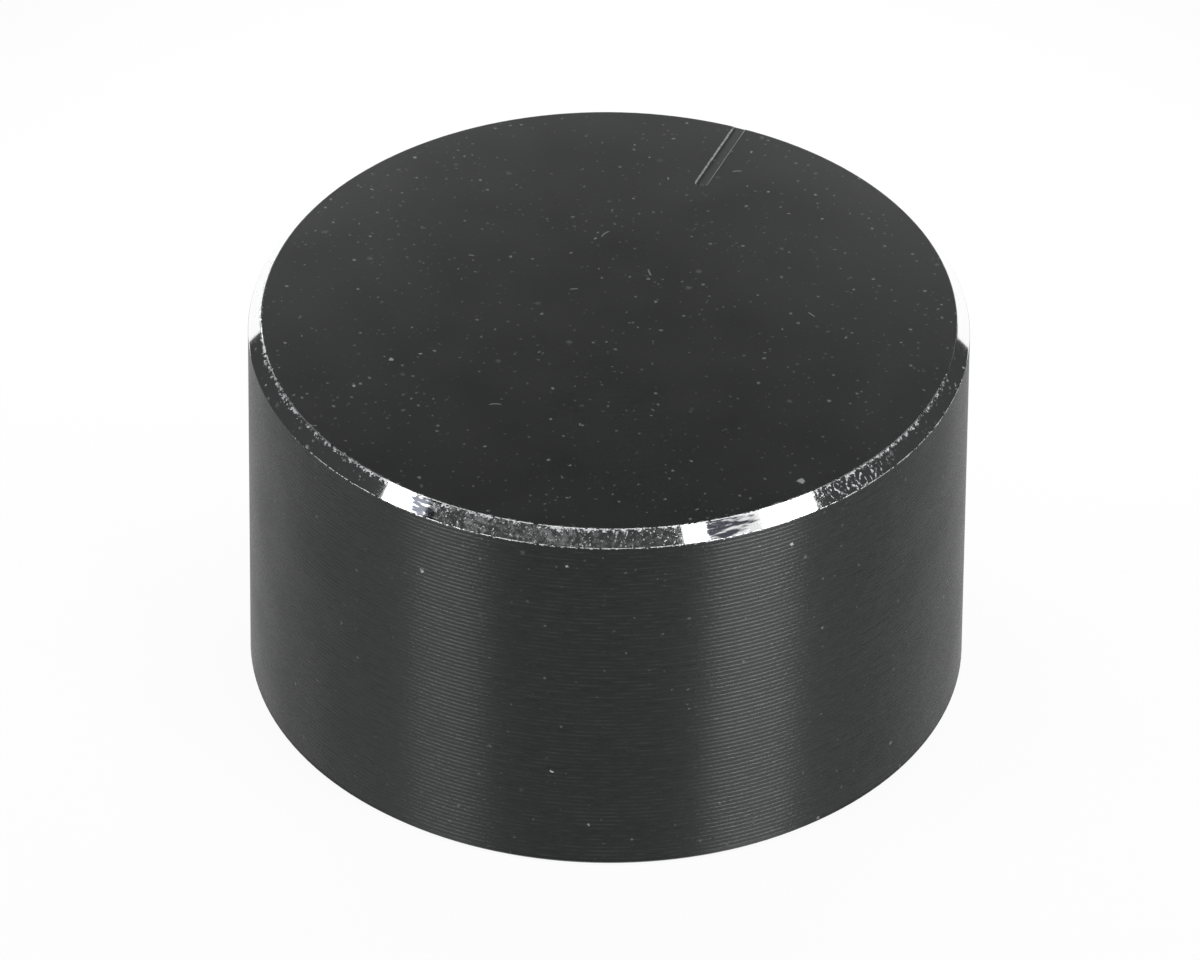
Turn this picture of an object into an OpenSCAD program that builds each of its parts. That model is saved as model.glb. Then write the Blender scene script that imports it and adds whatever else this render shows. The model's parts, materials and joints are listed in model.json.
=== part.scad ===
// Potentiometer knob, 30 mm across and 17.2 mm high: a solid body turned from aluminium
// bar, with a bright-cut bevel round the top, a milled indicator line, a recess that
// clears the potentiometer's nut, a blind shaft bore and a cup-point set screw.
// The base rim stands on z = 0, the shaft axis is Z and the indicator points along +Y.

/* [Body] */
// Outer diameter of the body
body_d = 30; // [26:0.5:50]
// Overall height
body_h = 17.2; // [16:0.1:30]
// Radial width of the bright bevel round the top edge
bevel_w = 0.55; // [0.2:0.05:1.5]
// Height of the bevel
bevel_h = 0.6; // [0.2:0.05:1.5]
// Edge break round both edges of the base rim
rim_break = 0.2; // [0.05:0.05:0.5]

/* [Indicator line] */
// Length from the rim inwards
line_l = 5; // [2:0.25:9]
// Width of the cutter
line_w = 0.45; // [0.3:0.05:1.5]
// Depth below the top face
line_depth = 0.1; // [0.05:0.05:0.4]

/* [Shaft bore] */
// Diameter of the potentiometer's shaft
shaft_d = 6; // [4:0.05:8]
// Radial clearance between shaft and bore
shaft_clearance = 0.03; // [0.01:0.01:0.05]
// Depth of the straight bore, from the base
bore_depth = 13; // [11:0.25:13.5]
// Point angle of the drill that made the bore
drill_angle = 118; // [90:1:140]
// Lead-in at the mouth of the bore
bore_lead = 0.4; // [0.1:0.05:0.8]

/* [Nut recess] */
// Diameter of the recess
recess_d = 20; // [16:0.5:24]
// Depth of the recess
recess_depth = 4.5; // [3:0.1:6]

/* [Set screw] */
// Thread diameter
screw_d = 3; // [2.5:0.5:4]
// Length of the screw
screw_l = 6; // [4:0.5:7]
// Radial clearance between the screw and its hole
screw_clearance = 0.03; // [0.01:0.01:0.05]
// How far the socket end lies below the body's surface
screw_inset = 1.6; // [0.5:0.1:3]
// Chamfer on the socket end
screw_chamfer = 0.3; // [0.1:0.05:0.35]
// Hexagon key size, across flats
key_af = 1.5; // [1.2:0.1:1.6]
// Depth of the hexagon socket
key_depth = 2; // [1.2:0.1:2.5]
// Diameter of the cup at the point
cup_d = 1.4; // [0.8:0.1:2]
// Width of the biting rim round the cup
cup_rim = 0.15; // [0.05:0.05:0.3]
// Countersink at the mouth of the screw hole
hole_countersink = 0.3; // [0.1:0.05:0.8]

/* [Hidden] */
$fn = 128;

// How far a cutter runs past the face that it opens
overrun = 1;

body_r = body_d / 2;
top_r = body_r - bevel_w;
recess_r = recess_d / 2;
bore_r = shaft_d / 2 + shaft_clearance;
bore_tip = bore_depth + bore_r / tan(drill_angle / 2);

screw_r = screw_d / 2;
screw_hole_r = screw_r + screw_clearance;
// The screw bears on the middle of the bore's straight wall
screw_z = (recess_depth + bore_depth) / 2;

key_corner_r = key_af / 2 / cos(30);
key_flat_r = key_af / 2;
cup_r = cup_d / 2;
cup_mouth_r = cup_r - cup_rim;

anodised_black = [0.13, 0.135, 0.133];
oxide_black = [0.2, 0.2, 0.21];

// Half section of the turned body, from the drill point out to the rim and up to the top
module body_section() {
    polygon([
        [0, bore_tip],
        [bore_r, bore_depth],
        [bore_r, recess_depth + bore_lead],
        [bore_r + bore_lead, recess_depth],
        [recess_r, recess_depth],
        [recess_r, rim_break],
        [recess_r + rim_break, 0],
        [body_r - rim_break, 0],
        [body_r, rim_break],
        [body_r, body_h - bevel_h],
        [top_r, body_h],
        [0, body_h],
    ]);
}

// Path of the end mill that cuts the indicator: round at its inner end, open at the rim
module indicator_cut() {
    translate([0, 0, body_h - line_depth])
        linear_extrude(line_depth + overrun) {
            translate([0, body_r - line_l + line_w / 2])
                circle(d = line_w);
            translate([-line_w / 2, body_r - line_l + line_w / 2])
                square([line_w, line_l + overrun]);
        }
}

// Places its children on the set screw's axis: z = 0 at the body's surface, +Z inwards
module on_screw_axis() {
    translate([0, body_r, screw_z])
        rotate([90, 0, 0])
            children();
}

// Tapped hole from the surface into the bore, with a countersunk mouth
module screw_hole_cut() {
    on_screw_axis() {
        translate([0, 0, -overrun])
            cylinder(h = body_r + overrun, r = screw_hole_r);
        translate([0, 0, -overrun])
            cylinder(
                h = hole_countersink + overrun,
                r1 = screw_hole_r + hole_countersink + overrun,
                r2 = screw_hole_r
            );
    }
}

module knob_body() {
    color(anodised_black)
        difference() {
            rotate_extrude() body_section();
            indicator_cut();
            screw_hole_cut();
        }
}

// Half section of the screw's blank, socket end at z = 0 and cup point at z = screw_l
module screw_section() {
    polygon([
        [0, 0],
        [screw_r - screw_chamfer, 0],
        [screw_r, screw_chamfer],
        [screw_r, screw_l - (screw_r - cup_r)],
        [cup_r, screw_l],
        [0, screw_l],
    ]);
}

// Hexagon socket, broached over a drilled hole with a pointed end
module key_socket_cut() {
    translate([0, 0, -overrun])
        cylinder(h = key_depth + overrun, r = key_corner_r, $fn = 6);
    translate([0, 0, key_depth])
        cylinder(h = key_flat_r / tan(drill_angle / 2), r1 = key_flat_r, r2 = 0);
}

// Hollow cone that leaves the sharp rim of the cup point
module cup_cut() {
    depth = cup_mouth_r / tan(drill_angle / 2);
    translate([0, 0, screw_l - depth])
        cylinder(h = depth, r1 = 0, r2 = cup_mouth_r);
}

module set_screw() {
    color(oxide_black)
        on_screw_axis()
            translate([0, 0, screw_inset])
                difference() {
                    rotate_extrude() screw_section();
                    key_socket_cut();
                    cup_cut();
                }
}

knob_body();
set_screw();
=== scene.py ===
import json
from math import atan2, cos, pi, radians, sin, tan

import bmesh
import bpy
from mathutils import Matrix, Vector


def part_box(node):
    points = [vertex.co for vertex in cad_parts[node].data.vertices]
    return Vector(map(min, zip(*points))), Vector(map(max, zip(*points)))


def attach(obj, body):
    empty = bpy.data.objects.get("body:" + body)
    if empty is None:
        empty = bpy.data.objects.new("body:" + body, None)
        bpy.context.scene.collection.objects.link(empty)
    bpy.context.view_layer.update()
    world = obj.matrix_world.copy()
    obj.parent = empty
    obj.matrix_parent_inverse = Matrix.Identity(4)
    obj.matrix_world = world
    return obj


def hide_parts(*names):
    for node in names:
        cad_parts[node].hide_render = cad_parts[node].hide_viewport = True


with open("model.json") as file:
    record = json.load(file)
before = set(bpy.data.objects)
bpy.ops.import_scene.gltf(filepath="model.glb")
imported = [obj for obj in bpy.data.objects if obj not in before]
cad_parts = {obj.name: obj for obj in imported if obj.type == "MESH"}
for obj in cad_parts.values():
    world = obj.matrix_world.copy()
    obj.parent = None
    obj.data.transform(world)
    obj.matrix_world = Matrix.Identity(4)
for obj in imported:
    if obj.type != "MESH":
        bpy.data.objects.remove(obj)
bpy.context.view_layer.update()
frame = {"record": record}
scene = bpy.context.scene

# The body: one piece of aluminium bar, faced, turned and bored on a lathe, anodised black, and
# last cut bright round its top edge with a diamond. Its wall keeps the ridges that the feed left.
MM = 0.001
outer_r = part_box("knob_body")[1].x
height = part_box("knob_body")[1].z
bevel_w = 0.55 * MM
bevel_h = 0.6 * MM
upper_edge = 0.06 * MM
lower_edge = 0.042 * MM
top_r = outer_r - bevel_w
rim_break = 0.2 * MM
recess_r = 10 * MM
recess_depth = 4.5 * MM
tool_nose = 0.2 * MM
shaft_bore = next(m for m in frame["record"]["mounts"] if m["name"] == "shaft_bore")
bore_r = shaft_bore["dims"]["r_mm"] * MM
bore_depth = 13 * MM
bore_lead = 0.4 * MM
drill_half_angle = radians(59)
feed = 0.2025 * MM
steep_share = 0.25
mark_depth = 0.0131 * MM
flat_hold = 0.04 * MM
body_segments = 160
body_sharp_angle = radians(15)
TOP, UPPER_EDGE, BEVEL, LOWER_EDGE, WALL, BASE = range(6)


def turned_section(corners, hold, arc_steps=4):
    """Points (r, z, finish) along a half section. A corner is (r, z, radius, arc finish, next finish).

    Each corner becomes an arc, each straight stretch gets a point close to both its ends so that
    flat faces stay flat when shaded, and the wall gets the feet and the crests of its turning marks.
    """
    spots = [Vector((r, z)) for r, z, *_ in corners]
    path = []
    for i, (r, z, radius, arc_finish, finish) in enumerate(corners):
        here = spots[i]
        if 0 < i < len(corners) - 1 and radius:
            back = (spots[i - 1] - here).normalized()
            ahead = (spots[i + 1] - here).normalized()
            half = back.angle(ahead) / 2
            centre = here + (back + ahead).normalized() * radius / sin(half)
            start = here + back * radius / tan(half) - centre
            end = here + ahead * radius / tan(half) - centre
            for step in range(arc_steps):
                share = step / arc_steps
                spoke = start.normalized().slerp(end.normalized(), share) * radius
                path.append((*(centre + spoke), arc_finish))
            here = centre + end
        path.append((*here, finish))
        if i + 1 == len(corners):
            break
        ahead = spots[i + 1] - here
        next_radius = corners[i + 1][2]
        trim = 0
        if next_radius:
            after = (spots[i + 2] - spots[i + 1]).normalized()
            trim = next_radius / tan((-ahead).angle(after) / 2)
        run = ahead.length - trim
        way = ahead.normalized()
        if finish == WALL:
            marks = round(run / feed)
            rows = [k + share for k in range(marks) for share in (0, steep_share)][1:]
            path.extend((*(here + way * run * row / marks), WALL) for row in rows)
        elif run > 4 * hold:
            path.append((*(here + way * hold), finish))
            path.append((*(here + way * (run - hold)), finish))
    return path


def put(tree, kind, feeds=(), **settings):
    """Adds a node, sets it and feeds its inputs with sockets or values. Gives back its first output."""
    node = tree.nodes.new(kind)
    for name, value in settings.items():
        setattr(node, name, value)
    shown = [socket for socket in node.inputs if socket.enabled]
    for place, value in feeds.items() if isinstance(feeds, dict) else enumerate(feeds):
        socket = node.inputs[place] if isinstance(place, str) else shown[place]
        if isinstance(value, bpy.types.NodeSocket):
            tree.links.new(value, socket)
        elif value is not None:
            socket.default_value = value
    return next((socket for socket in node.outputs if socket.enabled), None)


def maths(tree, operation, *feeds):
    """A Math node on one to three values or sockets."""
    return put(tree, "ShaderNodeMath", feeds, operation=operation)


def geometry_tree(name, inputs):
    """A Geometry Nodes tree with a Geometry input and the named inputs given as (name, socket type)."""
    tree = bpy.data.node_groups.new(name, "GeometryNodeTree")
    tree.interface.new_socket("Geometry", in_out="INPUT", socket_type="NodeSocketGeometry")
    tree.interface.new_socket("Geometry", in_out="OUTPUT", socket_type="NodeSocketGeometry")
    for label, kind in inputs:
        tree.interface.new_socket(label, in_out="INPUT", socket_type=kind)
    entry = tree.nodes.new("NodeGroupInput")
    return tree, entry.outputs


def lathe_tree(finishes):
    """Revolves a section about Z: the section's points become the rows of a grid bent round the axis."""
    labels = [(f"Finish {k}", "NodeSocketMaterial") for k in range(finishes)]
    sizes = [
        ("Segments", "NodeSocketInt"),
        ("Feed", "NodeSocketFloat"),
        ("Mark Depth", "NodeSocketFloat"),
        ("Steep Share", "NodeSocketFloat"),
        ("First Mark", "NodeSocketFloat"),
    ]
    tree, given = geometry_tree("lathe", sizes + labels)
    finish = put(tree, "GeometryNodeInputNamedAttribute", ["finish"], data_type="INT")
    place = put(tree, "GeometryNodeInputPosition")

    # Turning marks: a tooth for each turn, steep above and shallow below, some a little deeper
    along = put(tree, "ShaderNodeSeparateXYZ", [place]).node.outputs["Z"]
    turns = maths(tree, "DIVIDE", maths(tree, "SUBTRACT", given["First Mark"], along), given["Feed"])
    down = maths(tree, "FRACT", turns)
    steep = maths(tree, "SUBTRACT", 1.0, maths(tree, "DIVIDE", down, given["Steep Share"]))
    past_crest = maths(tree, "SUBTRACT", down, given["Steep Share"])
    shallow = maths(tree, "DIVIDE", past_crest, maths(tree, "SUBTRACT", 1.0, given["Steep Share"]))
    hollow = maths(tree, "MULTIPLY", maths(tree, "MAXIMUM", steep, shallow), given["Mark Depth"])
    mark = put(tree, "FunctionNodeFloatToInt", [turns], rounding_mode="FLOOR")
    depth = put(
        tree,
        "FunctionNodeRandomValue",
        {"Min": 0.92, "Max": 1.0, "ID": mark, "Seed": 7},
        data_type="FLOAT",
    ).node.outputs[1]
    inward = maths(tree, "MULTIPLY", hollow, depth)
    offset = put(tree, "ShaderNodeCombineXYZ", {"X": maths(tree, "MULTIPLY", inward, -1.0)})
    on_wall = put(tree, "FunctionNodeCompare", [finish, WALL], data_type="INT", operation="EQUAL")
    section = put(
        tree,
        "GeometryNodeSetPosition",
        {"Geometry": given["Geometry"], "Selection": on_wall, "Offset": offset},
    )

    rows = put(tree, "GeometryNodeAttributeDomainSize", [section], component="MESH")
    columns = put(tree, "FunctionNodeIntegerMath", [given["Segments"], 1], operation="ADD")
    grid = put(tree, "GeometryNodeMeshGrid", {"Vertices X": columns, "Vertices Y": rows})
    index = put(tree, "GeometryNodeInputIndex")

    strips = put(tree, "FunctionNodeIntegerMath", [rows, 1], operation="SUBTRACT")
    strip = put(tree, "FunctionNodeIntegerMath", [index, strips], operation="MODULO")
    strip_finish = put(
        tree, "GeometryNodeSampleIndex", [section, finish, strip], data_type="INT", domain="POINT"
    )
    grid = put(
        tree,
        "GeometryNodeStoreNamedAttribute",
        {"Geometry": grid, "Name": "finish", "Value": strip_finish},
        data_type="INT",
        domain="FACE",
    )

    row = put(tree, "FunctionNodeIntegerMath", [index, rows], operation="MODULO")
    column = put(tree, "FunctionNodeIntegerMath", [index, rows], operation="DIVIDE_FLOOR")
    angle = maths(tree, "MULTIPLY", maths(tree, "DIVIDE", column, given["Segments"]), 2 * pi)
    spot = put(
        tree, "GeometryNodeSampleIndex", [section, place, row], data_type="FLOAT_VECTOR", domain="POINT"
    )
    turned = put(
        tree,
        "ShaderNodeVectorRotate",
        {"Vector": spot, "Angle": angle},
        rotation_type="Z_AXIS",
    )
    solid = put(tree, "GeometryNodeSetPosition", {"Geometry": grid, "Position": turned})
    solid = put(tree, "GeometryNodeMergeByDistance", {"Geometry": solid, "Distance": 1e-7})
    solid = put(tree, "GeometryNodeFlipFaces", {"Mesh": solid})
    solid = put(tree, "GeometryNodeSetShadeSmooth", {"Geometry": solid})
    solid = put(tree, "GeometryNodeRealizeInstances", {"Geometry": solid})
    for k in range(finishes):
        here = put(tree, "FunctionNodeCompare", [finish, k], data_type="INT", operation="EQUAL")
        solid = put(
            tree,
            "GeometryNodeSetMaterial",
            {"Geometry": solid, "Selection": here, "Material": given[f"Finish {k}"]},
        )
    put(tree, "NodeGroupOutput", [solid])
    return tree


def node_modifier(piece, tree, **values):
    """Adds a Geometry Nodes modifier and sets its inputs, by their labels with _ for a space."""
    modifier = piece.modifiers.new(tree.name, "NODES")
    modifier.node_group = tree
    for item in tree.interface.items_tree:
        label = item.name.replace(" ", "_")
        if item.item_type == "SOCKET" and item.in_out == "INPUT" and label in values:
            modifier[item.identifier] = values[label]


def outline_piece(name, points, finishes=None, closed=False):
    """An object that holds a line of points, with a finish number for each point where given."""
    mesh = bpy.data.meshes.new(name)
    joins = [(k, k + 1) for k in range(len(points) - 1)]
    if closed:
        joins.append((len(points) - 1, 0))
    mesh.from_pydata(points, joins, [])
    if finishes:
        mesh.attributes.new("finish", "INT", "POINT").data.foreach_set("value", finishes)
    piece = bpy.data.objects.new(name, mesh)
    scene.collection.objects.link(piece)
    return piece


def lofted_tool(name, rings, end_finish, *band_finishes):
    """A closed cutter skinned over rings of points, with a finish for its ends and for its bands."""
    finishes = [end_finish, *band_finishes]
    shape = bmesh.new()
    loops = [[shape.verts.new(point) for point in ring] for ring in rings]
    for band, (low, high) in enumerate(zip(loops, loops[1:])):
        for k in range(len(low)):
            after = (k + 1) % len(low)
            side = shape.faces.new((low[k], low[after], high[after], high[k]))
            side.material_index = min(band + 1, len(finishes) - 1)
    shape.faces.new(loops[0])
    shape.faces.new(loops[-1])
    bmesh.ops.recalc_face_normals(shape, faces=shape.faces)
    mesh = bpy.data.meshes.new(name)
    shape.to_mesh(mesh)
    shape.free()
    for finish in finishes:
        mesh.materials.append(finish)
    tool = bpy.data.objects.new(name, mesh)
    scene.collection.objects.link(tool)
    return tool


def circle(radius, level, count=48):
    """A ring of points about Z."""
    return [
        (radius * cos(2 * pi * k / count), radius * sin(2 * pi * k / count), level) for k in range(count)
    ]


def cut(piece, tool):
    """Cuts a piece with a tool, whose finish then covers the cut faces."""
    modifier = piece.modifiers.new(tool.name, "BOOLEAN")
    modifier.operation = "DIFFERENCE"
    modifier.solver = "MANIFOLD"
    modifier.material_mode = "TRANSFER"
    modifier.object = tool
    tool.hide_render = True


def settle(piece, sharp_angle):
    """Turns the evaluated piece into a plain mesh, and drops its modifiers and its cutting tools."""
    tools = [m.object for m in piece.modifiers if m.type == "BOOLEAN"]
    graph = bpy.context.evaluated_depsgraph_get()
    mesh = bpy.data.meshes.new_from_object(piece.evaluated_get(graph), depsgraph=graph)
    piece.modifiers.clear()
    piece.data = mesh
    for k in reversed(range(len(mesh.materials))):
        if mesh.materials[k] is None:
            mesh.materials.pop(index=k)
    mesh.set_sharp_from_angle(angle=sharp_angle)
    for tool in tools:
        bpy.data.objects.remove(tool)


def shader(name):
    """A material with its tree, its Principled shader and Object coordinates in millimetres."""
    finish = bpy.data.materials.new(name)
    finish.use_nodes = True
    tree = finish.node_tree
    place = tree.nodes.new("ShaderNodeTexCoord").outputs["Object"]
    place = put(tree, "ShaderNodeVectorMath", {0: place, "Scale": 1 / MM}, operation="SCALE")
    return finish, tree, tree.nodes["Principled BSDF"], place


def feed_surface(tree, surface, **values):
    """Sets or links a Principled shader's inputs, by their names with _ for a space."""
    for name, value in values.items():
        socket = surface.inputs[name.replace("_", " ")]
        if isinstance(value, bpy.types.NodeSocket):
            tree.links.new(value, socket)
        else:
            socket.default_value = value


def blend(tree, share, start, end):
    """A colour between two colours."""
    node = tree.nodes.new("ShaderNodeMix")
    node.data_type = "RGBA"
    for place, value in ((0, share), (6, start), (7, end)):
        if isinstance(value, bpy.types.NodeSocket):
            tree.links.new(value, node.inputs[place])
        else:
            node.inputs[place].default_value = value
    return node.outputs[2]


def between(tree, share, start, end):
    """A value between two values."""
    return put(tree, "ShaderNodeMapRange", [share, 0.0, 1.0, start, end])


def step(tree, value, start, end):
    """0 at start, 1 at end, and a smooth change between them."""
    ends = [value, start, end, 0.0, 1.0]
    return put(tree, "ShaderNodeMapRange", ends, interpolation_type="SMOOTHSTEP")


def noise(tree, place, scale, detail=2.0, roughness=0.5, stretch=None):
    """Even noise round 0.5, stretched where three factors are given."""
    if stretch:
        place = put(tree, "ShaderNodeVectorMath", [place, stretch], operation="MULTIPLY")
    return put(
        tree,
        "ShaderNodeTexNoise",
        {"Vector": place, "Scale": scale, "Detail": detail, "Roughness": roughness},
    )


def dust_group():
    """Dust: ragged spots round random points in space, a few pale ones and many small faint ones."""
    tree = bpy.data.node_groups.new("dust", "ShaderNodeTree")
    tree.interface.new_socket("Place", in_out="INPUT", socket_type="NodeSocketVector")
    tree.interface.new_socket("Amount", in_out="INPUT", socket_type="NodeSocketFloat")
    tree.interface.new_socket("Dust", in_out="OUTPUT", socket_type="NodeSocketFloat")
    given = tree.nodes.new("NodeGroupInput").outputs
    drift = noise(tree, given["Place"], 0.22, detail=1.0)
    ragged = noise(tree, given["Place"], 9.0, detail=1.0).node.outputs["Color"]
    ragged = put(tree, "ShaderNodeVectorMath", [ragged, (0.5, 0.5, 0.5)], operation="SUBTRACT")
    ragged = put(tree, "ShaderNodeVectorMath", {0: ragged, "Scale": 0.16}, operation="SCALE")
    place = put(tree, "ShaderNodeVectorMath", [given["Place"], ragged], operation="ADD")
    total = 0.0
    for cells_per_mm, radius, share, strength in (
        (0.9, 0.2, 0.25, 0.35),
        (2.2, 0.115, 0.32, 0.55),
        (3.6, 0.09, 0.45, 0.2),
    ):
        spot = put(
            tree,
            "ShaderNodeTexVoronoi",
            {"Vector": place, "Scale": cells_per_mm},
            voronoi_dimensions="3D",
            feature="F1",
        )
        chance = put(tree, "ShaderNodeSeparateColor", [spot.node.outputs["Color"]]).node.outputs
        limit = maths(tree, "MULTIPLY", maths(tree, "MULTIPLY", drift, 2.0 * share), given["Amount"])
        present = maths(tree, "LESS_THAN", chance["Red"], limit)
        reach = between(tree, chance["Green"], 0.4 * radius * cells_per_mm, radius * cells_per_mm)
        near = step(tree, maths(tree, "DIVIDE", spot, reach), 1.0, 0.1)
        pale = maths(tree, "MULTIPLY", chance["Blue"], chance["Blue"])
        speck = maths(tree, "MULTIPLY", near, between(tree, pale, 0.2 * strength, strength))
        total = maths(tree, "MAXIMUM", total, maths(tree, "MULTIPLY", speck, present))
    put(tree, "NodeGroupOutput", [total])
    return tree


def lint_group():
    """Lint on the top: short curved fibres, one in a share of the cells of a flat pattern."""
    cells_per_mm, share_of_cells, paleness = 0.32, 0.2, 0.35
    tree = bpy.data.node_groups.new("lint", "ShaderNodeTree")
    tree.interface.new_socket("Place", in_out="INPUT", socket_type="NodeSocketVector")
    tree.interface.new_socket("Lint", in_out="OUTPUT", socket_type="NodeSocketFloat")
    place = tree.nodes.new("NodeGroupInput").outputs["Place"]
    spot = put(
        tree,
        "ShaderNodeTexVoronoi",
        {"Vector": place, "Scale": cells_per_mm, "Randomness": 0.8},
        voronoi_dimensions="2D",
        feature="F1",
    )
    chance = put(tree, "ShaderNodeSeparateColor", [spot.node.outputs["Color"]]).node.outputs
    local = put(
        tree, "ShaderNodeVectorMath", [place, spot.node.outputs["Position"]], operation="SUBTRACT"
    )
    turned_local = put(
        tree,
        "ShaderNodeVectorRotate",
        {"Vector": local, "Angle": maths(tree, "MULTIPLY", chance["Red"], 2 * pi)},
        rotation_type="Z_AXIS",
    )
    parts = put(tree, "ShaderNodeSeparateXYZ", [turned_local]).node.outputs
    bend = maths(tree, "MULTIPLY", maths(tree, "MULTIPLY", parts["X"], parts["X"]), chance["Green"])
    across = maths(tree, "ABSOLUTE", maths(tree, "SUBTRACT", parts["Y"], bend))
    length = between(tree, chance["Blue"], 0.08, 0.3)
    along = maths(tree, "DIVIDE", maths(tree, "ABSOLUTE", parts["X"]), length)
    thread = maths(tree, "MULTIPLY", step(tree, across, 0.05, 0.01), step(tree, along, 1.0, 0.6))
    second_chance = maths(tree, "FRACT", maths(tree, "MULTIPLY", chance["Red"], 7.3))
    present = maths(tree, "LESS_THAN", second_chance, share_of_cells)
    fibre = maths(tree, "MULTIPLY", thread, present)
    put(tree, "NodeGroupOutput", [maths(tree, "MULTIPLY", fibre, paleness)])
    return tree


dust = dust_group()
lint = lint_group()
dust_colour = (0.46, 0.47, 0.47, 1)
film_colour = (0.43, 0.46, 0.49, 1)
smear_colour = (0.08, 0.085, 0.1, 1)
bare_metal = (0.97, 0.972, 0.975, 1)
dull_metal = (0.66, 0.67, 0.68, 1)
rubbed_metal = (0.5, 0.51, 0.52, 1)
# The paler colour painted on the wall's steep flanks: a painted sheen along each turning mark
painted_sheen_skin = (0.0155, 0.0165, 0.016, 1)
skin_specular = 0.28


def cover_with(tree, group, place, **values):
    """Adds one of the groups of dirt to a finish, and gives back how much it covers."""
    node = tree.nodes.new("ShaderNodeGroup")
    node.node_tree = group
    tree.links.new(place, node.inputs["Place"])
    for name, value in values.items():
        node.inputs[name].default_value = value
    return node.outputs[0]


def flake_cover(tree, place, flakes):
    """A few larger flakes of dirt, each given by its place and its radius in millimetres."""
    paleness = 0.7
    ragged = noise(tree, place, 7.0, detail=1.0).node.outputs["Color"]
    ragged = put(tree, "ShaderNodeVectorMath", [ragged, (0.5, 0.5, 0.5)], operation="SUBTRACT")
    ragged = put(tree, "ShaderNodeVectorMath", {0: ragged, "Scale": 0.25}, operation="SCALE")
    place = put(tree, "ShaderNodeVectorMath", [place, ragged], operation="ADD")
    cover = 0.0
    for *spot, radius in flakes:
        gap = put(tree, "ShaderNodeVectorMath", [place, spot], operation="DISTANCE")
        gap = gap.node.outputs["Value"]
        cover = maths(tree, "MAXIMUM", cover, step(tree, gap, radius, 0.5 * radius))
    return maths(tree, "MULTIPLY", cover, paleness)


def front_share(tree, place, middle, reach):
    """1 round one side of the knob, and 0 beyond a reach to either hand, with a ragged change.

    Both are in degrees: the middle is counted from -Y to the right.
    """
    ragged_by = 3.0
    side = (sin(radians(middle)), -cos(radians(middle)), 0)
    ahead = put(tree, "ShaderNodeVectorMath", [place, side], operation="DOT_PRODUCT")
    ahead = ahead.node.outputs["Value"]
    ahead = maths(tree, "MULTIPLY_ADD", noise(tree, place, 0.9, detail=2.0), ragged_by, ahead)
    limit = outer_r / MM * cos(radians(reach)) + ragged_by / 2
    return step(tree, ahead, limit - ragged_by / 2, limit + ragged_by / 2)


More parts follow.
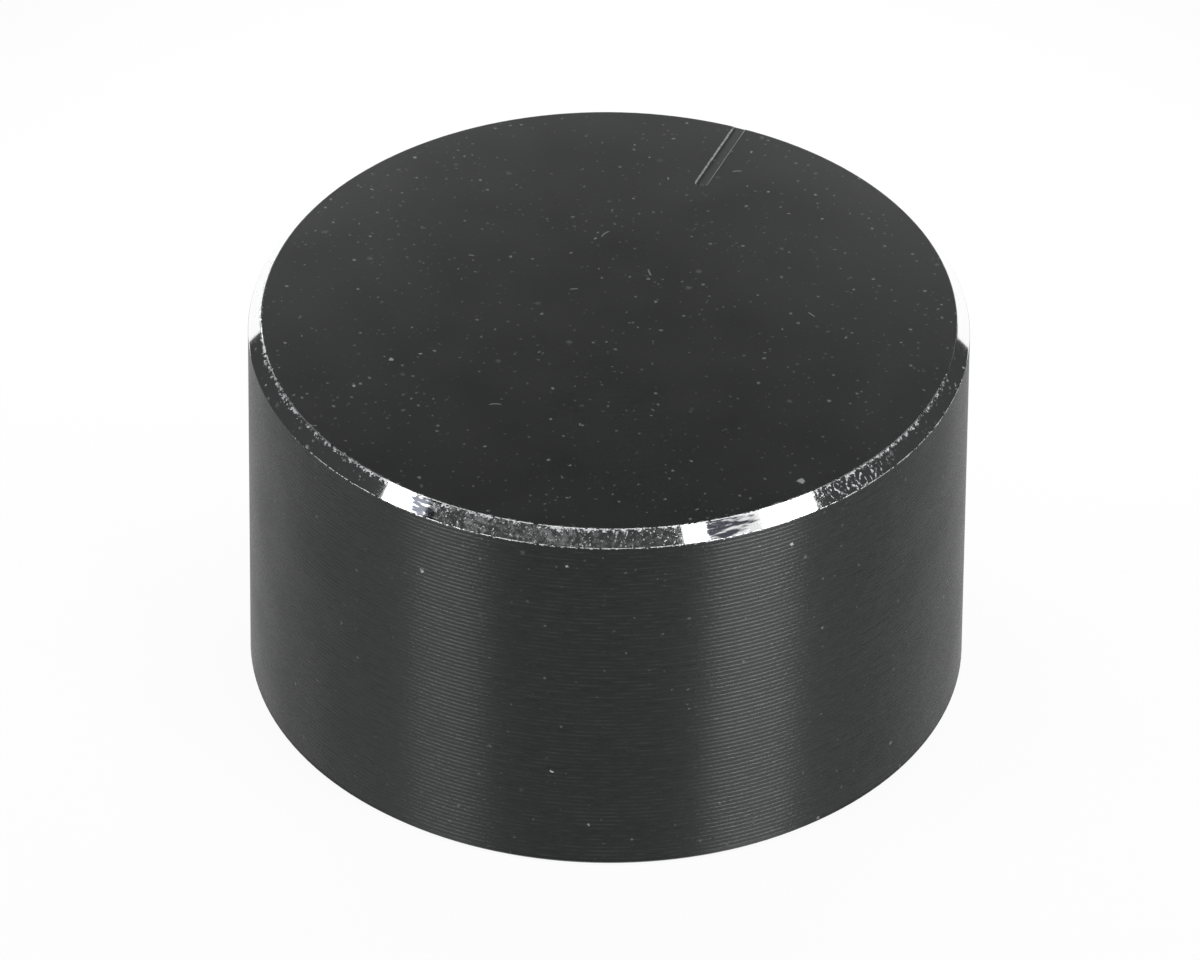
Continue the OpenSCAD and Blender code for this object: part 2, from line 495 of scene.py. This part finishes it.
def anodised_finish(
    name,
    roughness,
    dustiness,
    dye=1.0,
    specular=skin_specular,
    worn_edge=None,
    faced=False,
    with_lint=False,
    marks=None,
    flakes=(),
):
    """Black anodising: uneven near-black dye in an oxide skin, with dust, and worn bare beside an edge.

    The marks of turning are given as (first, pitch). Their steep flanks are smoother than the
    rest of them and painted paler, a painted sheen, and the highlight spreads along the axis.
    """
    grain_in_gloss, cloud_in_gloss, dust_in_gloss = 0.16, 0.12, 0.35
    flank_polish = 0.12
    skin_height = (0.008 if marks else 0.0007) * MM
    finish, tree, surface, place = shader(name)
    parts = put(tree, "ShaderNodeSeparateXYZ", [place]).node.outputs
    flat_place = put(tree, "ShaderNodeVectorMath", [place, (1, 1, 0)], operation="MULTIPLY")
    radius = put(tree, "ShaderNodeVectorMath", [flat_place], operation="LENGTH").node.outputs["Value"]
    cloud = noise(tree, place, 0.35, detail=4.0)
    grain = noise(tree, place, 9.0, detail=2.0)
    dark_dye = [dye * part for part in (0.0030, 0.0034, 0.0032)]
    pale_dye = [dye * part for part in (0.0046, 0.0051, 0.0048)]
    colour = blend(tree, cloud, (*dark_dye, 1), (*pale_dye, 1))
    gloss = maths(tree, "MULTIPLY_ADD", maths(tree, "SUBTRACT", grain, 0.5), grain_in_gloss, roughness)
    gloss = maths(tree, "MULTIPLY_ADD", maths(tree, "SUBTRACT", cloud, 0.5), cloud_in_gloss, gloss)
    relief = grain
    if marks:
        first, pitch_of_marks = marks
        down = maths(tree, "SUBTRACT", first / MM, parts["Z"])
        turns = maths(tree, "DIVIDE", down, pitch_of_marks / MM)
        steep = maths(tree, "LESS_THAN", maths(tree, "FRACT", turns), steep_share)
        relief = noise(tree, place, 6.0, detail=2.0, stretch=(1, 1, 2.4))
        gloss = maths(tree, "MULTIPLY_ADD", steep, -flank_polish, gloss)
        # Each mark's steep flank is painted paler in broken patches: a painted sheen that shows the
        # marks
        painted_pale_patches = step(tree, noise(tree, place, 1.4, detail=2.0, stretch=(1, 1, 3.5)), 0.25, 0.75)
        colour = blend(tree, maths(tree, "MULTIPLY", steep, painted_pale_patches), colour, painted_sheen_skin)
    if faced:
        rings = put(
            tree,
            "ShaderNodeTexNoise",
            {"W": radius, "Scale": 5.0, "Detail": 2.0},
            noise_dimensions="1D",
        )
        relief = maths(tree, "MULTIPLY_ADD", rings, 2.0, grain)
    metal = 0.0
    if worn_edge:
        off_r = maths(tree, "SUBTRACT", radius, worn_edge["at_r"] / MM)
        off_z = maths(tree, "SUBTRACT", parts["Z"], worn_edge["at_z"] / MM)
        off = put(tree, "ShaderNodeCombineXYZ", [off_r, off_z, 0.0])
        gap = put(tree, "ShaderNodeVectorMath", [off], operation="LENGTH").node.outputs["Value"]
        near = step(tree, gap, worn_edge["reach"] / MM, 0.0)
        on_side = front_share(tree, place, worn_edge["middle"], worn_edge["spread"])
        near = maths(tree, "MULTIPLY", near, on_side)
        chips = noise(tree, place, 5.5, detail=3.0, roughness=0.6)
        wear = maths(tree, "ADD", maths(tree, "MULTIPLY", near, worn_edge["share"]), chips)
        worn = step(tree, wear, 0.76, 0.9)
        colour = blend(tree, worn, colour, rubbed_metal)
        gloss = between(tree, worn, gloss, 0.5)
        metal = maths(tree, "MULTIPLY", worn, 0.5)
    cover = cover_with(tree, dust, place, Amount=dustiness)
    if with_lint:
        cover = maths(tree, "MAXIMUM", cover, cover_with(tree, lint, place))
    if flakes:
        cover = maths(tree, "MAXIMUM", cover, flake_cover(tree, place, flakes))
    colour = blend(tree, maths(tree, "MULTIPLY", cover, 0.8), colour, dust_colour)
    gloss = maths(tree, "MULTIPLY_ADD", cover, dust_in_gloss, gloss)
    bump = put(tree, "ShaderNodeBump", {"Strength": 1.0, "Distance": skin_height, "Height": relief})
    feed_surface(
        tree,
        surface,
        Base_Color=colour,
        Metallic=metal,
        Roughness=gloss,
        Specular_IOR_Level=specular,
        Specular_Tint=(0.95, 1, 0.975, 1),
        Normal=bump,
    )
    if marks:
        along = put(tree, "ShaderNodeTangent", direction_type="RADIAL", axis="Z")
        feed_surface(tree, surface, Anisotropic=0.9, Anisotropic_Rotation=0.25, Tangent=along)
    return finish


def chipped_finish(name, level, metal_colour, roughness, middle, spread):
    """An edge where the black skin has chipped off the metal, in beads, over one side of the knob."""
    kept_skin = (0.004, 0.0045, 0.0042, 1)
    finish, tree, surface, place = shader(name)
    chips = noise(tree, place, 6.0, detail=3.0, roughness=0.6)
    kept = maths(tree, "SUBTRACT", 1.0, front_share(tree, place, middle, spread))
    chips = maths(tree, "MULTIPLY_ADD", kept, -0.4, chips)
    bare = step(tree, chips, level - 0.03, level + 0.03)
    colour = blend(tree, bare, kept_skin, metal_colour)
    gloss = between(tree, bare, 0.4, roughness)
    feed_surface(tree, surface, Base_Color=colour, Metallic=bare, Roughness=gloss)
    feed_surface(tree, surface, Specular_IOR_Level=skin_specular)
    return finish


def painted_highlight_edge_finish(name, tip):
    """A cut edge painted pale grey as a highlight, with dust: broken, more on the left, and none at its
    tip.
    """
    # The pale grey is a painted highlight on the groove's edges, with dust: stronger on the left edge,
    # which faces the lamps, and faded out at the tip
    left_highlight_share, right_highlight_share = 0.75, 0.4
    dusty_skin, pale_dust_and_highlight = (0.03, 0.032, 0.031, 1), (0.3, 0.305, 0.3, 1)
    finish, tree, surface, place = shader(name)
    parts = put(tree, "ShaderNodeSeparateXYZ", [place]).node.outputs
    painted_pale_patches = step(tree, noise(tree, place, 7.0, detail=3.0, roughness=0.65), 0.3, 0.7)
    share = between(tree, step(tree, parts["X"], -0.1, 0.1), left_highlight_share, right_highlight_share)
    share = maths(tree, "MULTIPLY", share, step(tree, parts["Y"], tip / MM, tip / MM + 0.3))
    painted_pale_patches = maths(tree, "MULTIPLY", painted_pale_patches, share)
    colour = blend(tree, painted_pale_patches, dusty_skin, pale_dust_and_highlight)
    gloss = between(tree, painted_pale_patches, 0.42, 0.6)
    feed_surface(tree, surface, Base_Color=colour, Roughness=gloss, Specular_IOR_Level=skin_specular)
    return finish


def bright_finish(name):
    """Aluminium cut bright with a diamond and left bare: near a mirror, mottled with dirt and smeared.

    Turns are angles about the axis in radians, counted from -Y to the right.
    """
    clean_gloss, dirty_gloss = 0.05, 0.4
    nick_height = 0.0003 * MM
    finish, tree, surface, place = shader(name)
    parts = put(tree, "ShaderNodeSeparateXYZ", [place]).node.outputs
    turn = maths(tree, "ARCTAN2", parts["X"], maths(tree, "MULTIPLY", parts["Y"], -1.0))
    nick = noise(tree, place, 5.5, detail=3.0, roughness=0.7)
    mottle = noise(tree, place, 4.5, detail=4.0, roughness=0.7)
    patches = noise(tree, place, 0.7, detail=2.0)

    # A mottled film and fine specks of dirt where fingers took hold, more on the left of that stretch
    handled = maths(tree, "MULTIPLY", step(tree, turn, -0.3, -0.1), step(tree, turn, 1.05, 0.95))
    film = maths(tree, "MULTIPLY", handled, between(tree, step(tree, turn, 0.15, 0.45), 0.2, 0.07))
    mottle = maths(tree, "MULTIPLY_ADD", maths(tree, "SUBTRACT", patches, 0.5), 0.3, mottle)
    film = maths(tree, "MULTIPLY", step(tree, mottle, 0.42, 0.78), film)
    specks = step(tree, noise(tree, place, 11.0, detail=1.0), 0.62, 0.74)
    specks = maths(tree, "MULTIPLY", specks, handled)
    film = maths(tree, "MAXIMUM", film, maths(tree, "MULTIPLY", specks, 0.5))

    # Beads of dirt along the upper edge, round the front
    edge = step(tree, parts["Z"], (height - 0.24 * MM) / MM, height / MM)
    beads = maths(tree, "MULTIPLY_ADD", maths(tree, "SUBTRACT", patches, 0.5), 0.25, nick)
    beads = step(tree, maths(tree, "MULTIPLY_ADD", edge, 0.16, beads), 0.63, 0.75)
    beads = maths(tree, "MULTIPLY", beads, maths(tree, "MULTIPLY", step(tree, edge, 0.0, 0.5), 0.75))
    beads = maths(tree, "MULTIPLY", beads, front_share(tree, place, 0, 95))
    cover = maths(tree, "MAXIMUM", film, beads)
    cover = maths(tree, "MAXIMUM", cover_with(tree, dust, place, Amount=2.5), cover)

    # Short broken scratches on the right
    along = maths(tree, "MULTIPLY", turn, 20.0)
    stroke_place = put(tree, "ShaderNodeCombineXYZ", [along, parts["Z"], 3.0])
    off_stroke = maths(tree, "SUBTRACT", noise(tree, stroke_place, 2.6, detail=1.5), 0.5)
    off_stroke = maths(tree, "ABSOLUTE", off_stroke)
    scratched = maths(tree, "MULTIPLY", step(tree, turn, 0.97, 1.0), step(tree, turn, 1.35, 1.15))
    scratched = maths(tree, "MULTIPLY", scratched, step(tree, nick, 0.5, 0.62))
    strokes = maths(tree, "MULTIPLY", step(tree, off_stroke, 0.06, 0.02), scratched)
    cover = maths(tree, "MAXIMUM", cover, maths(tree, "MULTIPLY", strokes, 0.9))
    colour = blend(tree, cover, bare_metal, film_colour)
    metal = maths(tree, "SUBTRACT", 1.0, maths(tree, "MULTIPLY", cover, 0.9))

    # Dark smears in two patches, drawn out along the bevel
    along = maths(tree, "MULTIPLY", turn, 13.0)
    across = maths(tree, "MULTIPLY", parts["Z"], 7.0)
    smear = noise(tree, put(tree, "ShaderNodeCombineXYZ", [along, across, 0.0]), 1.0, detail=3.0)
    patch = maths(tree, "MULTIPLY", step(tree, turn, 0.655, 0.675), step(tree, turn, 0.84, 0.72))
    left_patch = maths(tree, "MULTIPLY", step(tree, turn, -0.2, -0.175), step(tree, turn, -0.08, -0.13))
    patch = maths(tree, "MAXIMUM", patch, left_patch)
    smear = step(tree, maths(tree, "ADD", smear, maths(tree, "MULTIPLY", patch, 0.25)), 0.6, 0.74)
    smear = maths(tree, "MULTIPLY", smear, step(tree, patch, 0.0, 0.1))
    colour = blend(tree, smear, colour, smear_colour)
    gloss = between(tree, cover, clean_gloss, dirty_gloss)
    bump = put(tree, "ShaderNodeBump", {"Strength": 1.0, "Distance": nick_height, "Height": nick})
    feed_surface(tree, surface, Base_Color=colour, Metallic=metal, Roughness=gloss, Normal=bump)
    return finish


section = turned_section(
    [
        (0, height, 0, TOP, TOP),
        (top_r, height, upper_edge, UPPER_EDGE, BEVEL),
        (outer_r, height - bevel_h, lower_edge, LOWER_EDGE, WALL),
        (outer_r, rim_break, 0, WALL, BASE),
        (outer_r - rim_break, 0, 0, BASE, BASE),
        (recess_r + rim_break, 0, 0, BASE, BASE),
        (recess_r, rim_break, 0, BASE, BASE),
        (recess_r, recess_depth, tool_nose, BASE, BASE),
        (bore_r + bore_lead, recess_depth, 0, BASE, BASE),
        (bore_r, recess_depth + bore_lead, 0, BASE, BASE),
        (bore_r, bore_depth, 0, BASE, BASE),
        (0, bore_depth + bore_r / tan(drill_half_angle), 0, BASE, BASE),
    ],
    hold=flat_hold,
)
knob = outline_piece("knob", [(r, 0, z) for r, z, _ in section], [f for *_, f in section])
wall_rows = [z for _, z, f in section if f == WALL]
wall_run = wall_rows[0] - rim_break
feed_kept = wall_run / round(wall_run / feed)
top_finish = anodised_finish(
    "anodised_top",
    roughness=0.41,
    dustiness=1.25,
    worn_edge=dict(at_r=top_r, at_z=height, reach=0.14 * MM, share=0.3, middle=0, spread=75),
    faced=True,
    with_lint=True,
    flakes=[
        (11.52, -7.33, 17.2, 0.2),
        (-7.19, -6.22, 17.2, 0.11),
        (-6.22, -5.44, 17.2, 0.1),
        (-7.87, -8.52, 17.2, 0.09),
    ],
)
upper_edge_finish = chipped_finish(
    "chipped_upper_edge", level=0.45, metal_colour=bare_metal, roughness=0.28, middle=15, spread=82
)
bevel_finish = bright_finish("bright_bevel")
lower_edge_finish = chipped_finish(
    "chipped_lower_edge", level=0.46, metal_colour=dull_metal, roughness=0.5, middle=33, spread=68
)
wall_top = height - bevel_h
wall_finish = anodised_finish(
    "anodised_wall",
    roughness=0.4,
    dustiness=0.35,
    specular=0.31,
    worn_edge=dict(at_r=outer_r, at_z=wall_top, reach=0.13 * MM, share=0.3, middle=28, spread=70),
    marks=(wall_rows[0], feed_kept),
    flakes=[
        (11.88, -9.16, 15.35, 0.09),
        (-2.15, -14.84, 13.78, 0.12),
        (4.1, -14.43, 15.62, 0.07),
        (3.51, -14.58, 4.87, 0.07),
    ],
)
base_finish = anodised_finish("anodised_base", roughness=0.42, dustiness=0.3)
lathe = lathe_tree(finishes=6)
node_modifier(
    knob,
    lathe,
    Segments=body_segments,
    Feed=feed_kept,
    Mark_Depth=mark_depth,
    Steep_Share=steep_share,
    First_Mark=wall_rows[0],
    Finish_0=top_finish,
    Finish_1=upper_edge_finish,
    Finish_2=bevel_finish,
    Finish_3=lower_edge_finish,
    Finish_4=wall_finish,
    Finish_5=base_finish,
)

# The indicator: a straight groove milled into the top from the rim inwards, before anodising, whose
# edges show as two pale lines, painted as a highlight with dust in it.
line_l = 5 * MM
line_w = 0.45 * MM
line_depth = 0.1 * MM
flare_depth = 0.06 * MM
flare_w = 0.06 * MM
# The groove's floor is dyed 5.5 times paler than the top: painted light that offsets the shade of the
# groove's walls, besides its dust
line_finish = anodised_finish("dusty_groove", roughness=0.41, dustiness=4.0, dye=5.5)
line_edge_finish = painted_highlight_edge_finish("rubbed_groove_edge", tip=outer_r - line_l)


def slot_outline(grow, level):
    """The groove's outline at a level: round at its inner end, and run past the rim."""
    end_steps = 16
    half = line_w / 2 + grow
    inner = outer_r - line_l + line_w / 2
    angles = [pi * k / end_steps for k in range(end_steps + 1)]
    arc = [(half * cos(a), inner - half * sin(a), level) for a in angles]
    return arc + [(-half, outer_r + MM, level), (half, outer_r + MM, level)]


# The flare opens by its width where it meets the top, and the cutter runs on past that
groove_tool = lofted_tool(
    "groove_tool",
    [
        slot_outline(0, height - line_depth),
        slot_outline(0, height - flare_depth),
        slot_outline(flare_w * 4, height + flare_depth * 3),
    ],
    line_finish,
    line_edge_finish,
)
cut(knob, groove_tool)

# The screw hole: drilled through the wall into the bore from the indicator's side, countersunk, and
# tapped with a coarse thread before the knob was anodised.
thread_r = 1.53 * MM
tapped_r = 1.26 * MM
pitch = 0.5 * MM
tap_core_r = 1.16 * MM
tap_half_foot = 0.19 * MM
tap_half_crest = 0.035 * MM
tap_start = 1.0 * MM
tap_turns = 29
countersink = 0.3 * MM
screw_level = (recess_depth + bore_depth) / 2
on_screw_axis = Matrix.Translation((0, 0, screw_level)) @ Matrix.Rotation(-pi / 2, 4, "X")


def thread_tree():
    """Sweeps a closed profile along a helix about Z, with its X outwards and its Y along the axis."""
    tree, given = geometry_tree(
        "thread",
        [
            ("Turns", "NodeSocketFloat"),
            ("Pitch", "NodeSocketFloat"),
            ("Radius", "NodeSocketFloat"),
            ("Start", "NodeSocketFloat"),
            ("Finish", "NodeSocketMaterial"),
        ],
    )
    rise = maths(tree, "MULTIPLY", given["Turns"], given["Pitch"])
    helix = put(
        tree,
        "GeometryNodeCurveSpiral",
        {
            "Resolution": 36,
            "Rotations": given["Turns"],
            "Start Radius": given["Radius"],
            "End Radius": given["Radius"],
            "Height": rise,
        },
    )
    helix = put(tree, "GeometryNodeSetCurveNormal", {"Curve": helix}, mode="Z_UP")
    lift = put(tree, "ShaderNodeCombineXYZ", {"Z": given["Start"]})
    helix = put(tree, "GeometryNodeSetPosition", {"Geometry": helix, "Offset": lift})
    profile = put(tree, "GeometryNodeMeshToCurve", {"Mesh": given["Geometry"]})
    ridge = put(
        tree,
        "GeometryNodeCurveToMesh",
        {"Curve": helix, "Profile Curve": profile, "Fill Caps": True},
    )
    ridge = put(tree, "GeometryNodeRealizeInstances", {"Geometry": ridge})
    ridge = put(tree, "GeometryNodeSetMaterial", {"Geometry": ridge, "Material": given["Finish"]})
    put(tree, "NodeGroupOutput", [ridge])
    return tree


def thread_tool(name, profile, start, turns, finish):
    """A helical cutter: profile points are (radius, distance along the axis)."""
    helix_r = 1.0 * MM
    tool = outline_piece(name, [(r - helix_r, y, 0) for r, y in profile], closed=True)
    node_modifier(
        tool,
        threads,
        Turns=turns,
        Pitch=pitch,
        Radius=helix_r,
        Start=start,
        Finish=finish,
    )
    return tool


threads = thread_tree()
drill_tool = lofted_tool(
    "drill_tool",
    [
        circle(tapped_r, 0),
        circle(tapped_r, outer_r - countersink - (thread_r - tapped_r)),
        circle(thread_r + countersink + MM, outer_r + MM),
    ],
    base_finish,
)
tap_tool = thread_tool(
    "tap_tool",
    [
        (tap_core_r, -tap_half_foot),
        (tapped_r, -tap_half_foot),
        (thread_r, -tap_half_crest),
        (thread_r, tap_half_crest),
        (tapped_r, tap_half_foot),
        (tap_core_r, tap_half_foot),
    ],
    start=tap_start,
    turns=tap_turns,
    finish=base_finish,
)
for tool in (drill_tool, tap_tool):
    tool.matrix_world = on_screw_axis
    cut(knob, tool)
settle(knob, body_sharp_angle)
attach(knob, "root")
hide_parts("knob_body")

# The set screw: a headless steel screw with a hexagon socket and a cup point, rolled, hardened and
# blackened. It sits below the wall at the indicator's side and grips the shaft.
screw_r = 1.5 * MM
screw_root_r = 1.195 * MM
screw_end = 13.4 * MM
screw_l = 6 * MM
screw_chamfer = 0.3 * MM
cup_r = 0.7 * MM
cup_rim = 0.15 * MM
key_across = 1.5 * MM
key_depth = 2 * MM
key_sides = 6
key_tip_r = 0.02 * MM
end_round = 0.03 * MM
cup_round = 0.02 * MM
roll_half_root = 0.04 * MM
roll_half_mouth = 0.215 * MM
roll_past = 0.15 * MM
roll_start = 1.25 * MM + 10 * pitch
roll_turns = 16
screw_segments = 72
screw_sharp_angle = radians(30)


def oxide_finish(name):
    """Black oxide on steel: blue-black, darker in patches where oil stayed, with a fine grain."""
    oiled, dry = (0.018, 0.018, 0.02, 1), (0.05, 0.05, 0.054, 1)
    grain_height = 0.001 * MM
    finish, tree, surface, place = shader(name)
    cloud = noise(tree, place, 1.3, detail=4.0)
    grain = noise(tree, place, 14.0, detail=2.0)
    colour = blend(tree, cloud, oiled, dry)
    gloss = between(tree, grain, 0.3, 0.5)
    bump = put(tree, "ShaderNodeBump", {"Strength": 1.0, "Distance": grain_height, "Height": grain})
    feed_surface(tree, surface, Base_Color=colour, Metallic=0.75, Roughness=gloss, Normal=bump)
    return finish


screw_finish = oxide_finish("blackened_steel")
point = screw_end - screw_l
cup_mouth = cup_r - cup_rim
screw_section = turned_section(
    [
        (0, screw_end, 0, TOP, TOP),
        (screw_r - screw_chamfer, screw_end, end_round, TOP, TOP),
        (screw_r, screw_end - screw_chamfer, 0, TOP, TOP),
        (screw_r, point + screw_r - cup_r, 0, TOP, TOP),
        (cup_r, point, cup_round, TOP, TOP),
        (cup_mouth, point, cup_round, TOP, TOP),
        (0, point + cup_mouth / tan(drill_half_angle), 0, TOP, TOP),
    ],
    hold=end_round,
)
screw = outline_piece("screw", [(r, 0, z) for r, z, _ in screw_section], [f for *_, f in screw_section])
node_modifier(
    screw,
    lathe,
    Segments=screw_segments,
    Feed=feed,
    Mark_Depth=mark_depth,
    Steep_Share=steep_share,
    First_Mark=screw_end,
    Finish_0=screw_finish,
)
rolling_tool = thread_tool(
    "rolling_tool",
    [
        (screw_root_r, -roll_half_root),
        (screw_r, -roll_half_mouth),
        (screw_r + roll_past, -roll_half_mouth),
        (screw_r + roll_past, roll_half_mouth),
        (screw_r, roll_half_mouth),
        (screw_root_r, roll_half_root),
    ],
    start=roll_start,
    turns=roll_turns,
    finish=screw_finish,
)
key_corner = key_across / 2 / cos(pi / key_sides)
key_floor = screw_end - key_depth
broach_tool = lofted_tool(
    "broach_tool",
    [
        circle(key_tip_r, key_floor - key_across / 2 / tan(drill_half_angle), key_sides),
        circle(key_corner, key_floor, key_sides),
        circle(key_corner, screw_end + MM, key_sides),
    ],
    screw_finish,
)
cut(screw, rolling_tool)
cut(screw, broach_tool)
settle(screw, screw_sharp_angle)
screw.data.transform(on_screw_axis)
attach(screw, "root")
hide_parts("set_screw")

# The floor: a wide sheet of matt white board, laid flat under the knob. It keeps the knob's shadow,
# and the bright bevel mirrors it as white.
floor_half = 1.5
floor_drop = 0.01 * MM
board_colour = (0.86, 0.86, 0.86, 1)
board_glow = 0.93
floor_shape = bmesh.new()
bmesh.ops.create_grid(floor_shape, x_segments=8, y_segments=8, size=floor_half)
floor_mesh = bpy.data.meshes.new("floor")
floor_shape.to_mesh(floor_mesh)
floor_shape.free()
floor_mesh.transform(Matrix.Translation((0, 0, -floor_drop)))
floor = bpy.data.objects.new("floor", floor_mesh)
scene.collection.objects.link(floor)
board = bpy.data.materials.new("white_board")
board.use_nodes = True
tree = board.node_tree
tree.nodes.clear()
rays = tree.nodes.new("ShaderNodeLightPath").outputs
matt = put(tree, "ShaderNodeBsdfDiffuse", {"Color": board_colour})
glow = put(tree, "ShaderNodeEmission", {"Color": (1, 1, 1, 1), "Strength": 1.0})
mirror = maths(tree, "MAXIMUM", rays["Is Glossy Ray"], rays["Is Transmission Ray"])
share = maths(tree, "MAXIMUM", maths(tree, "MULTIPLY", rays["Is Camera Ray"], board_glow), mirror)
mixed = put(tree, "ShaderNodeMixShader", [share, matt, glow])
put(tree, "ShaderNodeOutputMaterial", {"Surface": mixed})
floor_mesh.materials.append(board)

# The camera: a long lens in front of the knob and above it, as the photograph was taken. It stands
# a little to the right of the side opposite the indicator, and its frame is 1200 by 960 pixels.
frame_w = 1200
sensor_w = 36
camera_azimuth = radians(22.1)
camera_elevation = radians(37.39)
camera_distance = 644.84 * MM
camera_roll = radians(0.508)
pixels_f = 15405.4
pixels_right, pixels_down = 7.557, 1.206
target = Vector((0, 0, height / 2))
to_camera = Vector(
    (
        sin(camera_azimuth) * cos(camera_elevation),
        -cos(camera_azimuth) * cos(camera_elevation),
        sin(camera_elevation),
    )
)
level_right = Vector((cos(camera_azimuth), sin(camera_azimuth), 0))
level_up = to_camera.cross(level_right)
right = level_right * cos(camera_roll) + level_up * sin(camera_roll)
up = level_up * cos(camera_roll) - level_right * sin(camera_roll)
per_pixel = camera_distance / pixels_f
spot = target + to_camera * camera_distance
spot = spot - right * pixels_right * per_pixel + up * pixels_down * per_pixel
lens = bpy.data.cameras.new("camera")
lens.sensor_fit = "HORIZONTAL"
lens.sensor_width = sensor_w
lens.lens = sensor_w * pixels_f / frame_w
lens.clip_end = 20
camera = bpy.data.objects.new("camera", lens)
camera.matrix_world = Matrix.Translation(spot) @ Matrix((right, up, to_camera)).transposed().to_4x4()
scene.collection.objects.link(camera)
scene.camera = camera

# The light: softboxes in a dim room. The bevel mirrors four in front as pale blocks, a high one lights
# everything evenly, low ones to the right and left draw the wall's bright bands, two behind light
# its outer edges, and three strips close behind give the top its sheen.
bevel_tilt = atan2(bevel_w, bevel_h)
lamp_distance = 0.32


def mirrored(degrees):
    """The direction that the bevel mirrors at a place round the knob, from the camera to the right."""
    round_to = camera_azimuth + radians(degrees)
    face = Vector((sin(round_to) * cos(bevel_tilt), -cos(round_to) * cos(bevel_tilt), sin(bevel_tilt)))
    return 2 * face.dot(to_camera) * face - to_camera


def lamp(name, centre, across, width, tall, radiance):
    """A rectangular softbox that faces the knob, with its width along a given direction."""
    light = bpy.data.lights.new(name, "AREA")
    light.shape = "RECTANGLE"
    light.size = width
    light.size_y = tall
    light.energy = radiance * pi * width * tall
    facing = (centre - target).normalized()
    side = (across - facing * across.dot(facing)).normalized()
    box = bpy.data.objects.new(name, light)
    turned = Matrix((side, facing.cross(side), facing)).transposed().to_4x4()
    box.matrix_world = Matrix.Translation(centre) @ turned
    box.visible_camera = False
    scene.collection.objects.link(box)


def bevel_box(name, from_degrees, to_degrees, tall, radiance):
    """A softbox that the bevel mirrors between two places round the knob."""
    start, end = mirrored(from_degrees), mirrored(to_degrees)
    centre = target + (start + end).normalized() * lamp_distance
    lamp(name, centre, end - start, (end - start).length * lamp_distance, tall, radiance)


def ring_box(name, degrees, spread, radiance, elevation=5, tall=0.05):
    """A softbox at a place round the knob, from the camera to the right, and at an elevation."""
    round_to = camera_azimuth + radians(degrees)
    rise = radians(elevation)
    toward = Vector((sin(round_to) * cos(rise), -cos(round_to) * cos(rise), sin(rise)))
    across = Vector((cos(round_to), sin(round_to), 0))
    width = 2 * lamp_distance * tan(radians(spread) / 2)
    lamp(name, target + toward * lamp_distance, across, width, tall, radiance)


bevel_box("softbox_front", 12.1, 16.0, tall=0.18, radiance=4)
bevel_box("softbox_right", 25.0, 34.6, tall=0.18, radiance=4)
bevel_box("softbox_between", 16.0, 25.0, tall=0.18, radiance=0.75)
bevel_box("softbox_left", -37.6, -29.6, tall=0.24, radiance=4)
ring_box("softbox_high", 0, spread=50, radiance=2, elevation=74, tall=0.11)
ring_box("low_right", 53, spread=36, radiance=2.4)
ring_box("low_right_core", 42.2, spread=24, radiance=41)
ring_box("low_left", -60, spread=40, radiance=1.8)
ring_box("low_left_core", -45.5, spread=20, radiance=24)
ring_box("rim_right", 152, spread=26, radiance=9, elevation=8, tall=0.06)
ring_box("rim_left", -152, spread=26, radiance=9, elevation=8, tall=0.06)
strip_r = outer_r + 28 * MM
strip_level = height + 8 * MM
strip_w = 30 * MM
strip_tall = 5 * MM
for name, degrees, radiance in (
    ("arc_right", 147, 13.5),
    ("arc_back", 180, 8.5),
    ("arc_left", 213, 13.5),
):
    round_to = camera_azimuth + radians(degrees)
    toward = Vector((sin(round_to), -cos(round_to), 0))
    across = Vector((cos(round_to), sin(round_to), 0))
    centre = toward * strip_r + Vector((0, 0, strip_level))
    lamp(name, centre, across, strip_w, strip_tall, radiance)

# The room: white to the camera, a faint fill on matt surfaces, and nearly dark in what the metal mirrors
world = bpy.data.worlds.new("room")
scene.world = world
world.use_nodes = True
tree = world.node_tree
tree.nodes.clear()
rays = tree.nodes.new("ShaderNodeLightPath").outputs
white = put(tree, "ShaderNodeBackground", {"Color": (1, 1, 1, 1), "Strength": 1.0})
fill = put(tree, "ShaderNodeBackground", {"Color": (0.95, 0.98, 1, 1), "Strength": 0.15})
dark = put(tree, "ShaderNodeBackground", {"Color": (0.97, 0.99, 1, 1), "Strength": 0.045})
shown = put(tree, "ShaderNodeMixShader", [rays["Is Glossy Ray"], fill, dark])
shown = put(tree, "ShaderNodeMixShader", [rays["Is Camera Ray"], shown, white])
put(tree, "ShaderNodeOutputWorld", {"Surface": shown})
scene.view_settings.view_transform = "Standard"
